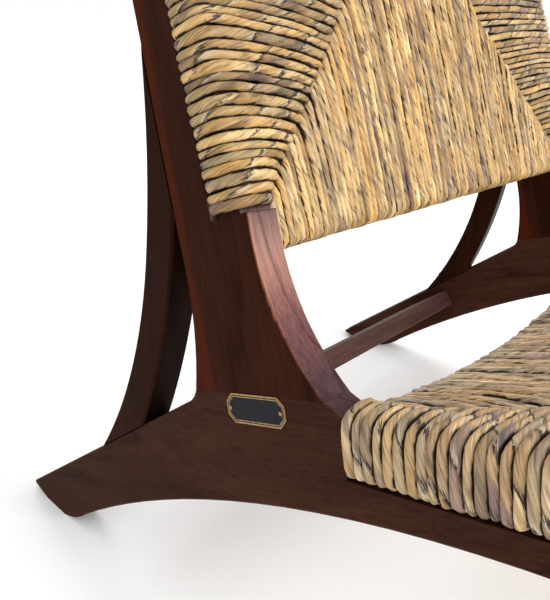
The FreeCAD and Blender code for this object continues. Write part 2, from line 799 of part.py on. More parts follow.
def rail_points(name):
    """Two points in the middle of a cross rail's thickness, near its end."""
    frame, _, along, drop, dish = RAILS[name]
    reach = bar_reach(frame, along, drop)
    share = (reach - S["board_thickness"] - END_GRIP / 2) / reach
    centre = drop + S["wrap_thickness"] + S["cross_depth"] / 2 + dish * (-share * share + 1)
    middle = along + S["cross_zone"] / 2
    return [frame.at(middle, centre - S["end_dowel_spread"] / 2),
            frame.at(middle, centre + S["end_dowel_spread"] / 2)]


def stretcher_points():
    slope = S["stretcher_slope_angle"]
    width = S["stretcher_width"]
    return [(STRETCHER_FRONT[0] - cosine(slope) * width * share,
             STRETCHER_FRONT[1] - sine(slope) * width * share)
            for share in STRETCHER_DOWEL_SHARES]


def cross_dowels(side):
    """The dowels from one frame into the cross members, by member."""
    found = {"rear_stretcher": end_dowels("stretcher_dowel", side, stretcher_points(),
                                          S["dowel_radius"])}
    for name in RAILS:
        found[name] = end_dowels(name + "_dowel", side, rail_points(name),
                                 S["small_dowel_radius"])
    return found


def plate_place():
    x, y = on_board((S["corner_run"] - S["plate_back"], S["corner_rise"] - S["plate_down"]))
    return "%s * %s" % (board_place("right"), placed(x, y, 0, (ABOUT_Z, S["joint_slope_angle"])))


def label_plate():
    """A bare metal plate with clipped corners on the outer face of the right plank."""
    half_x = S["plate_length"] / 2
    half_y = S["plate_height"] / 2
    clip = S["plate_clip"]
    corners = [((-half_x + clip, -half_y), None), ((half_x - clip, -half_y), None),
               ((half_x, -half_y + clip), None), ((half_x, half_y - clip), None),
               ((half_x - clip, half_y), None), ((-half_x + clip, half_y), None),
               ((-half_x, half_y - clip), None), ((-half_x, -half_y + clip), None)]
    body, sketch = body_with_sketch("label_plate_blank", plate_place(), [corners])
    pad(body, sketch, S["plate_thickness"])
    return body


def label_pins():
    pins = []
    for way in (-1, 1):
        x = (S["plate_length"] / 2 - S["pin_inset"]) * way
        tag = "rear" if way < 0 else "front"
        low = "%s * %s" % (plate_place(), placed(x, 0, -S["pin_depth"]))
        high = "%s * %s" % (plate_place(), placed(x, 0, S["plate_thickness"]))
        shank = dowel("pin_shank_" + tag, low, S["pin_radius"],
                      S["pin_depth"] + S["plate_thickness"])
        head = dowel("pin_head_" + tag, high, S["pin_head_radius"], S["pin_head_height"])
        pins.append(two_shapes("Fuse", "pin_" + tag, head, shank))
    return pins


# the whole chair

MAKERS = {"base_board": base_board, "post": post, "brace": brace, "front_leg": front_leg}

# the groups of dowels that enter each kind of plank, and the cross members it carries
JOINTED = {
    "base_board": ("post_dowels", "brace_foot_dowels", "front_leg_dowels"),
    "post": ("post_dowels", "brace_top_dowels"),
    "brace": ("brace_foot_dowels", "brace_top_dowels"),
    "front_leg": ("front_leg_dowels",),
}
CARRIED = {
    "base_board": ("rear_stretcher", "seat_rear_rail", "seat_front_rail"),
    "post": ("back_low_rail", "back_top_rail"),
}
END_GROUPS = {
    "stretcher_dowels": ("rear_stretcher",),
    "seat_rail_dowels": ("seat_rear_rail", "seat_front_rail"),
    "back_rail_dowels": ("back_low_rail", "back_top_rail"),
}


def drilled(name, blank, tools):
    """The finished piece: its blank less the dowels and pins that enter it."""
    return two_shapes("Cut", name, blank, grouped(name + "_holes", tools))


def both_sides(sets, key):
    return [item for side in SIDES for item in sets[side][key]]


def build():
    """All pieces, by node name."""
    space = make_bay("bay", as_size(0))
    rush_space = make_bay("rush_bay", S["rush_clearance"])
    planks = {(kind, side): maker(side) for kind, maker in MAKERS.items() for side in SIDES}
    members = {name: cross_rail(name, space) for name in RAILS}
    members["rear_stretcher"] = rear_stretcher(space)
    joints = {side: plank_dowels(side) for side in SIDES}
    ends = {side: cross_dowels(side) for side in SIDES}
    pins = label_pins()
    nodes = {}
    for (kind, side), blank in planks.items():
        tools = [item for group in JOINTED[kind] for item in joints[side][group]]
        tools += [item for name in CARRIED.get(kind, ()) for item in ends[side][name]]
        if (kind, side) == ("base_board", "right"):
            tools += pins
        name = "%s_%s" % (kind, side)
        nodes[name] = drilled(name, blank, tools)
    for name, blank in members.items():
        nodes[name] = drilled(name, blank, both_sides(ends, name))
    for group in joints["left"]:
        nodes[group] = grouped(group, both_sides(joints, group))
    for group, names in END_GROUPS.items():
        nodes[group] = grouped(group, [item for name in names for item in both_sides(ends, name)])
    nodes["label_plate"] = drilled("label_plate", label_plate(), pins)
    nodes["label_pins"] = grouped("label_pins", pins)
    nodes["seat_rush"] = rush_panel(
        "seat_rush", S["seat_rush_start"], S["seat_rush_length"],
        ("seat_rear_rail", "seat_front_rail"),
        (SEAT_RAIL_LOW, S["seat_wrap_rise"], S["seat_pad"], S["seat_web_thickness"]), rush_space,
        [planks["base_board", side] for side in SIDES]
        + [members["seat_rear_rail"], members["seat_front_rail"]])
    nodes["back_rush"] = rush_panel(
        "back_rush", S["back_rush_start"], S["back_rush_length"],
        ("back_low_rail", "back_top_rail"),
        (BACK_RAIL_REAR, S["back_wrap_rise"], S["back_pad"], S["back_web_thickness"]), rush_space,
        [planks["post", side] for side in SIDES]
        + [members["back_low_rail"], members["back_top_rail"]])
    return nodes


def check_and_write(nodes):
    """Stop at a failed object or a bad shape, then write each node's solids."""
    doc.recompute()
    failed = [item.Name for item in doc.Objects
              if "Invalid" in item.State or "Error" in item.State]
    if failed:
        raise RuntimeError("failed: " + ", ".join(failed))
    os.makedirs("parts", exist_ok=True)
    for name, item in nodes.items():
        item.Label = name
        shape = item.Shape
        if shape.isNull() or not shape.isValid() or not shape.Solids:
            raise RuntimeError("bad shape: " + name)
        shape.exportStep("parts/%s.step" % name)
        box = shape.BoundBox
        print("%-20s %2d solids %9.1f cm3  x %6.1f..%6.1f  y %6.1f..%6.1f  z %6.1f..%6.1f" % (
            name, len(shape.Solids), shape.Volume / 1000, box.XMin, box.XMax,
            box.YMin, box.YMax, box.ZMin, box.ZMax))


check_and_write(build())
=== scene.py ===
"""The look of the lounge chair: dark planks, a bare plate and hand-laid rush strands.

Lengths are millimetres until they enter the scene. Places are given in the side elevation:
"run" is the distance forward of the rear toe tip and "rise" the height above the floor. On a
panel, "along" runs up its line and "depth" goes away from the sitter.
"""
import math
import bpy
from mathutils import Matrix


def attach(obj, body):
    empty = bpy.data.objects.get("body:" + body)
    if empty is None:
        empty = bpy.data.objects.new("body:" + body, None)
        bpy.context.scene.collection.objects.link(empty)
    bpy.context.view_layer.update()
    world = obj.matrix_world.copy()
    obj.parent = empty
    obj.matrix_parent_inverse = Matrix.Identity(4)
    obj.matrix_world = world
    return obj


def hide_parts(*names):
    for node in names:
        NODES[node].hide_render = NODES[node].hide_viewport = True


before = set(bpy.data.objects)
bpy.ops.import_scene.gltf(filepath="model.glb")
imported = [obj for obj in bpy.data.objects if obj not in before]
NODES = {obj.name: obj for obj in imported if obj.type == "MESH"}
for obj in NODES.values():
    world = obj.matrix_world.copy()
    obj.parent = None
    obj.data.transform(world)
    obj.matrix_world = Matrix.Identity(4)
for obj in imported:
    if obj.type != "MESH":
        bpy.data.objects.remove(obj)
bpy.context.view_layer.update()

from types import SimpleNamespace

import bpy
import numpy as np
from mathutils import Matrix

MM = 0.001
rng = np.random.default_rng(7)

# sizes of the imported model; FACE is a plank's thickness, measured straight across the chair
PLANK = 24.0
SPLAY = math.radians(7.5)
REAR_HALF = 269.35
FRAME_RUN = 788.0
TIP_Y = (FRAME_RUN + PLANK * math.sin(SPLAY)) / 2
FACE = PLANK / math.cos(SPLAY)
CORNER = np.array([279.0, 209.9])
RAKE = math.radians(24.0)
SLOPE = math.radians(14.8)
WRAP = 5.5
RAIL_DEPTH = 22.0
ZONE = 28.5
SEAM_INSET = 6.6

# along and deep: directions in the side elevation. start and length: the rush round the planks.
# drops and dishes: of the rear or low rail, then of the front or top rail. pad and thin: how
# far padding lifts the face, and the thickness in the middle. slot and rise: where the side
# strands pass under the slotted rail, and how far they stand above the line. fan and bend: how
# side strands spread and cross strands swerve near the seam. uneven: how cross strands vary in
# height. The tints multiply the tones of the strands.
SEAT = SimpleNamespace(
    name="seat", node="seat_rush",
    along=np.array([math.cos(SLOPE), math.sin(SLOPE)]),
    deep=np.array([math.sin(SLOPE), -math.cos(SLOPE)]),
    start=40.0, length=410.0, drops=(10.0, 6.0), dishes=(32.5, 18.0), pad=12.0, thin=28.0,
    slot=30.4, rise=4.0, fan=0.0, bend=20.0, uneven=0.8,
    side_tint=(0.93, 0.91, 0.99), cross_tint=(1.07, 1.10, 1.36))
BACK = SimpleNamespace(
    name="back", node="back_rush",
    along=np.array([-math.sin(RAKE), math.cos(RAKE)]),
    deep=np.array([-math.cos(RAKE), -math.sin(RAKE)]),
    start=109.3, length=400.0, drops=(11.0, 9.0), dishes=(5.0, 7.0), pad=5.0, thin=24.0,
    slot=26.9, rise=1.0, fan=0.09, bend=5.0, uneven=0.5,
    side_tint=(0.80, 0.735, 0.63), cross_tint=(1.01, 0.93, 0.81))

# how the padding grows with the distance from the nearer end of the web
PAD_PLACES = (0, 34, 131, 233)
PAD_SHARES = (0, 0.23, 0.85, 1)

# the drawn strands: their pitch, half thickness, step along the path and corners of a section
PITCH = 6.0
REACH = 2.75
STEP = 4.0
SIDES = 10
CORNER_CUTS = 3
SWELL_LENGTH = 9.0
TIP_LENGTH = 11.0
# how much flatter than a circle the section is, so that strands lie shoulder to shoulder
SQUARENESS = 2.2
# a strand's last points as it dives at the seam: past the seam, and off the panel's face
DIVE = ((2.6, 8.0), (1.0, 3.4), (-3.5, 0.2))
# the lengths of a full twist, and about how far a leaf lasts, beside the planks and across
SIDE_TWIST, SIDE_LEAF = (46, 70), 40.0
CROSS_TWIST, CROSS_LEAF = (34, 52), 60.0
# how far a crease leans as it goes round the strand
LEAN = (5.0, 9.0)
# cross strands swerve over this length before the seam. The swerve fades out near the frames,
# and where the seam comes near the middle of the web
SWERVE_LENGTH = 60.0
FRAME_FADE = 80.0
MIDDLE_FADE, MIDDLE_SPARE = 40.0, 12.0

# leaf tones, as seen in daylight, with how often each turns up
TONES = [
    ((0.60, 0.44, 0.22), 5), ((0.66, 0.53, 0.31), 5), ((0.52, 0.36, 0.16), 4),
    ((0.70, 0.60, 0.40), 3), ((0.42, 0.31, 0.16), 3), ((0.33, 0.25, 0.17), 2),
    ((0.27, 0.20, 0.17), 2), ((0.48, 0.40, 0.24), 3), ((0.20, 0.15, 0.12), 1),
]
TONE_TABLE = np.array([tone for tone, often in TONES for _ in range(often)])


# small helpers

def ease(t):
    t = np.clip(t, 0, 1)
    return t * t * (3 - 2 * t)


def blend(pair, share):
    return pair[0] + (pair[1] - pair[0]) * share


def unit(vectors):
    return vectors / np.linalg.norm(vectors, axis=1)[:, None]


def distances(line):
    """How far along a line each of its points lies."""
    return np.concatenate([[0], np.cumsum(np.linalg.norm(np.diff(line, axis=0), axis=1))])


def smooth_path(points):
    """Corner cutting: a smooth line near the given one, with its ends kept."""
    path = np.asarray(points, float)
    for _ in range(CORNER_CUTS):
        cuts = np.stack([0.75 * path[:-1] + 0.25 * path[1:],
                         0.25 * path[:-1] + 0.75 * path[1:]], axis=1)
        path = np.vstack([path[:1], cuts.reshape(-1, path.shape[1]), path[-1:]])
    return path


def resample(path):
    """The same path with its points STEP apart."""
    far = distances(path)
    count = max(int(round(far[-1] / STEP)), 4)
    at = np.linspace(0, far[-1], count + 1)
    return np.stack([np.interp(at, far, path[:, k]) for k in range(path.shape[1])], axis=1)


def wander(count, scale, every):
    """A smooth random line of small offsets."""
    knots = rng.normal(0, scale, count // every + 3)
    return np.interp(np.arange(count) / every, np.arange(len(knots)), knots)


def widths(length):
    """Uneven strand widths that fill a length, and where the strands' middles lie."""
    wide = rng.uniform(0.8, 1.2, int(round(length / PITCH)))
    wide *= length / wide.sum()
    ends = np.concatenate([[0], np.cumsum(wide)])
    return wide, (ends[1:] + ends[:-1]) / 2


def add_object(name, data):
    item = bpy.data.objects.new(name, data)
    bpy.context.scene.collection.objects.link(item)
    return item


def as_rush(piece, node):
    """Ties a piece to the chair and lets it stand for the rush of a node."""
    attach(piece, "root")
    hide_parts(node)


# the panels

def elevation(panel, along, depth):
    """Run and rise of points on a panel."""
    along, depth = np.asarray(along, float), np.asarray(depth, float)
    return tuple(CORNER[k] + panel.along[k] * along + panel.deep[k] * depth for k in (0, 1))


def row_points(panel, along, depth, x):
    """Points on a panel in the row frame."""
    run, rise = elevation(panel, along, depth)
    return np.stack([np.asarray(x, float) + 0 * run, TIP_Y - run, rise], axis=-1)


def in_row(direction):
    """A direction in the side elevation as a vector in the row frame."""
    return np.array([0.0, -direction[0], direction[1]])


def outer(run):
    """Half the distance between the frames' outer faces."""
    return REAR_HALF + math.tan(SPLAY) * run


def half_width(panel, along, depth):
    """Half the distance between the frames' inner faces."""
    return outer(elevation(panel, along, depth)[0]) - FACE


def web_ends(panel):
    return panel.start - ZONE, panel.start + panel.length + ZONE


def from_end(panel, along):
    """How far a place lies from the nearer end of the web."""
    first, last = web_ends(panel)
    return np.minimum(along - first, last - along)


def face_depth(panel, along, x):
    """How deep the face of the web lies below the line, away from the frames."""
    quarter = panel.length / 4
    share = np.clip((along - panel.start - quarter) / (panel.length - 2 * quarter), 0, 1)
    drop, dish = blend(panel.drops, share), blend(panel.dishes, share)
    across = x / half_width(panel, along, drop)
    lift = panel.pad * np.interp(from_end(panel, along), PAD_PLACES, PAD_SHARES)
    return float(drop - lift + dish * (1 - across * across))


def thickness(panel, along):
    """How thick the web is: full beside the rails and thin in the middle."""
    share = (from_end(panel, along) - ZONE - WRAP) / (panel.length / 4 - WRAP)
    return float(blend((RAIL_DEPTH + 2 * WRAP, panel.thin), np.clip(share, 0, 1)))


# the strands

def crease_places(length, leaf):
    """Where one leaf's end is wound over the next, at uneven distances of about leaf."""
    knots = [-rng.uniform(0, leaf)]
    while knots[-1] < length + leaf:
        knots.append(knots[-1] + leaf * rng.uniform(0.55, 1.6))
    return np.array(knots)


def leaf_tones(count, tint):
    """A tone for each leaf of one strand, all of them near the strand's own tone."""
    tones = TONE_TABLE[rng.integers(0, len(TONE_TABLE), count)]
    base = TONE_TABLE[rng.integers(0, len(TONE_TABLE))]
    return (0.6 * tones + 0.4 * base) * tint * rng.uniform(0.68, 1.14)


class Strands:
    """Collects strands and turns them into one mesh with its colour attributes.

    turn is the distance to the nearest crease, of one sign on odd leaves and of the other on
    even ones, so that the tones tone_a and tone_b change place at every crease. flank is 1 on
    the sides that touch the next strand, and grain runs along the twisted fibres."""

    def __init__(self, name, panel, tint):
        self.name, self.node, self.tint = name, panel.node, np.array(tint)
        self.points, self.faces, self.caps, self.strips = [], [], [], []
        self.vectors = {"tone_a": [], "tone_b": [], "grain": []}
        self.floats = {"turn": [], "flank": []}
        self.count = 0

    def add(self, line, outward, wide, lead, leaf):
        """line: centre points in the row frame. outward: unit vectors off the panel. lead:
        the length of a full twist. leaf: about how far a leaf lasts."""
        tangent = unit(np.gradient(line, axis=0))
        side = unit(np.cross(tangent, outward))
        outward = np.cross(side, tangent)
        s = distances(line)
        theta = np.arange(SIDES) / SIDES * 2 * np.pi - np.pi
        knots = crease_places(s[-1], leaf)
        tones = leaf_tones(len(knots) + 1, self.tint)
        along = s[:, None] + rng.uniform(*LEAN) * theta[None, :] / np.pi * 2
        self.add_rings(line, outward, side, s, theta, knots, wide, lead)
        self.add_leaves(along, knots, tones)
        self.floats["flank"].append(np.tile(np.abs(np.sin(theta)), len(line)))
        self.add_grain(s, theta, lead)
        self.add_faces(len(line), s)

    def add_rings(self, line, outward, side, s, theta, knots, wide, lead):
        """The surface: drawn in at the creases, swelling between them, thin at both ends."""
        swell = ease(np.abs(s[:, None] - knots[None, :]).min(1) / SWELL_LENGTH)
        tip = ease(np.minimum(s, s[-1] - s) / TIP_LENGTH) * 0.65 + 0.35
        reach_out = REACH * (0.9 + 0.14 * swell) * rng.uniform(0.94, 1.1) * tip
        reach_side = wide / 2 * (0.9 + 0.08 * swell) * tip
        sway = wander(len(line), 0.38, 6)[:, None]
        heave = wander(len(line), 0.28, 5)[:, None]
        line = line + side * sway + outward * heave
        # a two-leaf twist leaves a slightly oval, turning section
        spin = 2 * theta[None, :] - 2 * np.pi * s[:, None] / (lead / 2) + rng.uniform(0, 2 * np.pi)
        c, sn = np.cos(theta), np.sin(theta)
        flat = (np.abs(c) ** SQUARENESS + np.abs(sn) ** SQUARENESS) ** (-1 / SQUARENESS)
        off = (1.0 + 0.035 * np.cos(spin)) * flat
        ring = (line[:, None, :]
                + outward[:, None, :] * (c * off * reach_out[:, None])[:, :, None]
                + side[:, None, :] * (sn * off * reach_side[:, None])[:, :, None])
        self.points.append(ring.reshape(-1, 3))

    def add_leaves(self, along, knots, tones):
        """Which two tones meet at the crease nearest to each point, and how far it is."""
        nearest = np.searchsorted((knots[1:] + knots[:-1]) / 2, along)
        turn = (along - knots[nearest]) * np.where(nearest % 2 == 0, 1.0, -1.0)
        leaf = np.searchsorted(knots, along)
        beside = np.where(along > knots[nearest], leaf - 1, leaf + 1)
        here = tones[np.clip(leaf, 0, len(tones) - 1)]
        there = tones[np.clip(beside, 0, len(tones) - 1)]
        odd = (leaf % 2 == 1)[..., None]
        self.vectors["tone_a"].append(np.where(odd, here, there).reshape(-1, 3))
        self.vectors["tone_b"].append(np.where(odd, there, here).reshape(-1, 3))
        self.floats["turn"].append(turn.reshape(-1))

    def add_grain(self, s, theta, lead):
        """Coordinates that turn with the twist, so that noise runs along the fibres."""
        angle = theta[None, :] + 2 * np.pi * s[:, None] / lead
        seed = rng.uniform(0, 900)
        self.vectors["grain"].append(np.stack([
            3 * np.cos(angle) + seed, 3 * np.sin(angle) + seed * 0.7,
            np.repeat(s[:, None], SIDES, 1) + seed], -1).reshape(-1, 3))

    def add_faces(self, rings, s):
        i = np.arange(rings - 1)[:, None] * SIDES
        j = np.arange(SIDES)[None, :]
        k = (j + 1) % SIDES
        quads = np.stack([i + j, i + k, i + k + SIDES, i + j + SIDES], -1).reshape(-1, 4)
        self.faces.append(quads[:, ::-1] + self.count)
        self.caps.append(np.arange(SIDES) + self.count)
        self.caps.append(np.arange(SIDES)[::-1] + (rings - 1) * SIDES + self.count)
        self.strips.append(s)
        self.count += rings * SIDES

    def make(self, material):
        quads, caps = np.concatenate(self.faces), np.array(self.caps)
        corners = np.concatenate([quads.ravel(), caps.ravel()])
        sizes = np.concatenate([np.full(len(quads), 4), np.full(len(caps), SIDES)])
        starts = np.concatenate([[0], np.cumsum(sizes)[:-1]])
        points = np.concatenate(self.points) * MM
        mesh = bpy.data.meshes.new(self.name)
        mesh.vertices.add(len(points))
        mesh.vertices.foreach_set("co", points.astype(np.float32).ravel())
        mesh.loops.add(len(corners))
        mesh.loops.foreach_set("vertex_index", corners.astype(np.int32))
        mesh.polygons.add(len(sizes))
        mesh.polygons.foreach_set("loop_start", starts.astype(np.int32))
        mesh.update(calc_edges=True)
        mesh.polygons.foreach_set("use_smooth", np.ones(len(sizes), bool))
        for name, values in self.vectors.items():
            layer = mesh.attributes.new(name, "FLOAT_VECTOR", "POINT")
            layer.data.foreach_set("vector", np.concatenate(values).astype(np.float32).ravel())
        for name, values in self.floats.items():
            layer = mesh.attributes.new(name, "FLOAT", "POINT")
            layer.data.foreach_set("value", np.concatenate(values).astype(np.float32))
        self.lay_out(mesh)
        mesh.validate()
        mesh.materials.append(material)
        as_rush(add_object(self.name, mesh), self.node)

    def lay_out(self, mesh):
        """One strip of the unit square for each strand, side by side, and its ends on it."""
        longest = max(s[-1] for s in self.strips)
        wide = 1.0 / len(self.strips)
        turn = 2 * np.pi * np.arange(SIDES) / SIDES
        small = 0.3 * wide * np.stack([np.cos(turn), np.sin(turn)], -1)
        sides, ends = [], []
        for k, s in enumerate(self.strips):
            i = np.arange(len(s) - 1)[:, None]
            j = np.arange(SIDES)[None, :]
            low, high = s[i] / longest + 0 * j, s[i + 1] / longest + 0 * j
            left = (k + 0.04 + 0.92 * j / SIDES) * wide + 0 * i
            right = (k + 0.04 + 0.92 * (j + 1) / SIDES) * wide + 0 * i
            # the quads are wound backwards, so their corners go the other way round
            quad = np.stack([np.stack([left, high], -1), np.stack([right, high], -1),
                             np.stack([right, low], -1), np.stack([left, low], -1)], 2)
            sides.append(quad.reshape(-1, 2))
            for place in (0.002, min(s[-1] / longest, 0.998)):
                ends.append(small + [(k + 0.5) * wide, place])
        uv = np.clip(np.concatenate(sides + ends), 0, 1)
        layer = mesh.uv_layers.new(name="OFBake")
        layer.data.foreach_set("uv", uv.astype(np.float32).ravel())


def off_panel(panel, path, sideways):
    """Unit vectors off the panel for a path of (distance, depth), where the distance is
    measured along the vector sideways."""
    flat = unit(np.gradient(path, axis=0))
    far, deep = flat[:, 1], -flat[:, 0]
    if deep[len(deep) // 4] > 0:
        far, deep = -far, -deep
    return far[:, None] * sideways + deep[:, None] * in_row(panel.deep)


def closed_path(seam, top, low, upper, round_rail, lower):
    """From the seam of one face over the rail to the seam of the other, both ends diving."""
    down = [(seam + far, top + deep) for far, deep in DIVE]
    up = [(seam + far, low - deep) for far, deep in reversed(DIVE)]
    return resample(smooth_path([*down, *upper, *round_rail, *lower, *up]))


def side_path(panel, along, inset, crest):
    """A strand's way round a plank: distance in from its outer face, and depth."""
    seam = FACE + inset
    seam_x = half_width(panel, along, panel.drops[0]) - inset
    top = face_depth(panel, along, seam_x) + REACH
    low = top + thickness(panel, along) - 2 * REACH
    slot = panel.slot
    start, low_start = 1.0 + REACH - panel.rise, slot + 0.2
    bow = min(3.0, inset * 0.04)
    upper = [(FACE + inset * q, blend((start, top), q) - bow * math.sin(math.pi * q))
             for q in (0.72, 0.5, 0.3, 0.14)]
    round_rail = [
        (FACE - 1.0, 2.9 + crest), (12.0, 2.2 + crest), (5.0, 2.3 + crest), (-0.6, 3.4 + crest),
        (-2.9, 6.0), (-3.0, 14.0), (-3.0, slot - 8.0), (-2.2, slot - 2.0), (2.0, slot),
        (11.0, slot), (FACE, low_start)]
    lower = [(FACE + inset * q, blend((low_start, low), q ** 0.8)) for q in (0.15, 0.4, 0.7)]
    return closed_path(seam, top, low, upper, round_rail, lower)


def side_strands(panel, sign):
    """The strands round one plank's slotted rail, and inward to the seams of both faces."""
    made = Strands("%s_strands_%s" % (panel.name, "left" if sign > 0 else "right"), panel,
                   panel.side_tint)
    half = panel.length / 2
    for wide, centre in zip(*widths(panel.length)):
        place = panel.start + centre
        near_end = min(centre, panel.length - centre)
        inset = near_end + SEAM_INSET + rng.normal(0, 1.0)
        path = side_path(panel, place, inset, rng.normal(0, 0.35) - panel.rise)
        u, depth = path[:, 0], path[:, 1]
        fan = panel.fan * near_end * (1 - (near_end / half) ** 2) * (1 if centre < half else -1)
        along = place - fan * np.clip((u - FACE) / max(inset, 1.0), 0, 1) ** 1.3
        x = sign * (outer(elevation(panel, place, depth)[0]) - u)
        line = row_points(panel, along, depth, x)
        outward = off_panel(panel, path, np.array([-sign, 0.0, 0.0]))
        made.add(line, outward, wide, rng.uniform(*SIDE_TWIST), SIDE_LEAF)
    return made


def cross_path(panel, end, x, seam):
    """A strand's way round a cross rail: distance in from the rail's outer edge, and depth."""
    rail, way = web_ends(panel)[end], (1.0, -1.0)[end]
    lift = rng.normal(0, panel.uneven)

    def top(far):
        return face_depth(panel, rail + way * far, x) + REACH + lift

    def low(far):
        return top(far) + thickness(panel, rail + way * far) - 2 * (REACH + lift)

    spots = 14.0 + (seam - 14.0) * np.linspace(0, 1, max(int(seam / 24), 2) + 1)[1:-1]
    face = top(9.0) - 0.5 * lift
    round_rail = [
        (9.5, face), (4.2, face + 0.7), (2.9, face + 5.5), (2.9, face + 14.0),
        (2.9, face + 22.0), (4.2, face + 26.8), (9.5, face + 27.5)]
    return closed_path(seam, top(seam), low(seam), [(far, top(far)) for far in spots[::-1]],
                       round_rail, [(far, low(far)) for far in spots])


def cross_strands(panel, end):
    """The strands round one cross rail: end 0 is the rear or low one, 1 the front or top."""
    made = Strands("%s_strands_%s" % (panel.name, ("near", "far")[end]), panel,
                   panel.cross_tint)
    rail, way = web_ends(panel)[end], (1.0, -1.0)[end]
    growth = math.tan(SPLAY) * panel.along[0] * way
    reach = float(half_width(panel, rail, panel.drops[end])) - 0.6
    middle = panel.length / 2 + ZONE - 0.5
    for wide, centre in zip(*widths(2 * reach)):
        x = centre - reach
        inner = reach - abs(x)
        # the strand swerves towards the plank before it dives at the seam
        bend = panel.bend * float(ease(inner / FRAME_FADE))
        seam = (inner - bend + ZONE - SEAM_INSET) / (1.0 - growth)
        bend *= float(ease((middle + MIDDLE_SPARE - seam) / MIDDLE_FADE))
        seam = min(max(seam, ZONE + 1.0), middle) + rng.normal(0, 1.0)
        path = cross_path(panel, end, x, seam)
        far, depth = path[:, 0], path[:, 1]
        swerve = bend * np.clip((far - (seam - SWERVE_LENGTH)) / SWERVE_LENGTH, 0, 1.05) ** 2
        line = row_points(panel, rail + way * far, depth, x + math.copysign(1.0, x) * swerve)
        outward = off_panel(panel, path, way * in_row(panel.along))
        made.add(line, outward, wide, rng.uniform(*CROSS_TWIST), CROSS_LEAF)
    return made


# the waste rush between the two faces of a panel, seen only in the gaps: its grid, how
# far it stays under the faces, short of the web's ends and clear of the frames, and the hem
# along the planks, where its faces close in on two depths beside the slotted rail
GRID_ROWS, GRID_COLUMNS = 40, 48
COVER, SHORT, CLEAR = 6.5, 8.0, 2.0
HEM, HEM_GAP = 26.0, 8.0


def stuffing_points(panel):
    """Two grids of points, one below the upper face and one above the lower face."""
    first, last = web_ends(panel)
    first, last = first + SHORT, last - SHORT
    points = []
    for lower in (False, True):
        for i in range(GRID_ROWS + 1):
            along = first + (last - first) * i / GRID_ROWS
            half = float(half_width(panel, along, panel.drops[0])) - CLEAR
            for j in range(GRID_COLUMNS + 1):
                x = half * (2 * j / GRID_COLUMNS - 1)
                face = face_depth(panel, along, x)
                if lower:
                    depth, goal = face + thickness(panel, along) - COVER, panel.slot
                else:
                    depth, goal = face + COVER, panel.slot - HEM_GAP
                hem = max(0.0, 1 - (half - abs(x)) / HEM)
                depth += (goal - depth) * hem * 0.5
                points.append(tuple(row_points(panel, along, depth, x) * MM))
    return points


def stuffing_faces():
    """Faces over both grids and round their rim."""
    rows, columns = GRID_ROWS, GRID_COLUMNS
    wide = columns + 1
    sheet = (rows + 1) * wide
    faces = []
    for i in range(rows):
        for j in range(columns):
            q = i * wide + j
            faces.append((q, q + 1, q + wide + 1, q + wide))
            faces.append((q + sheet, q + wide + sheet, q + wide + 1 + sheet, q + 1 + sheet))
    rim = [*range(wide), *(i * wide + columns for i in range(1, rows + 1)),
           *(rows * wide + j for j in range(columns - 1, -1, -1)),
           *(i * wide for i in range(rows - 1, 0, -1))]
    for q, r in zip(rim, rim[1:] + rim[:1]):
        faces.append((r, q, q + sheet, r + sheet))
    return faces


def stuffing(panel):
    mesh = bpy.data.meshes.new(panel.name + "_stuffing")
    mesh.from_pydata(stuffing_points(panel), [], stuffing_faces())
    mesh.validate()
    mesh.materials.append(stuffing_material())
    as_rush(add_object(mesh.name, mesh), panel.node)


# materials

def grey(level):
    return (level, level, level, 1)


WHITE, BLACK = grey(1), grey(0)


def scaled(tone, factor):
    """A tone made darker or lighter, as a colour."""
    return (*[min(part * factor, 1) for part in tone], 1)


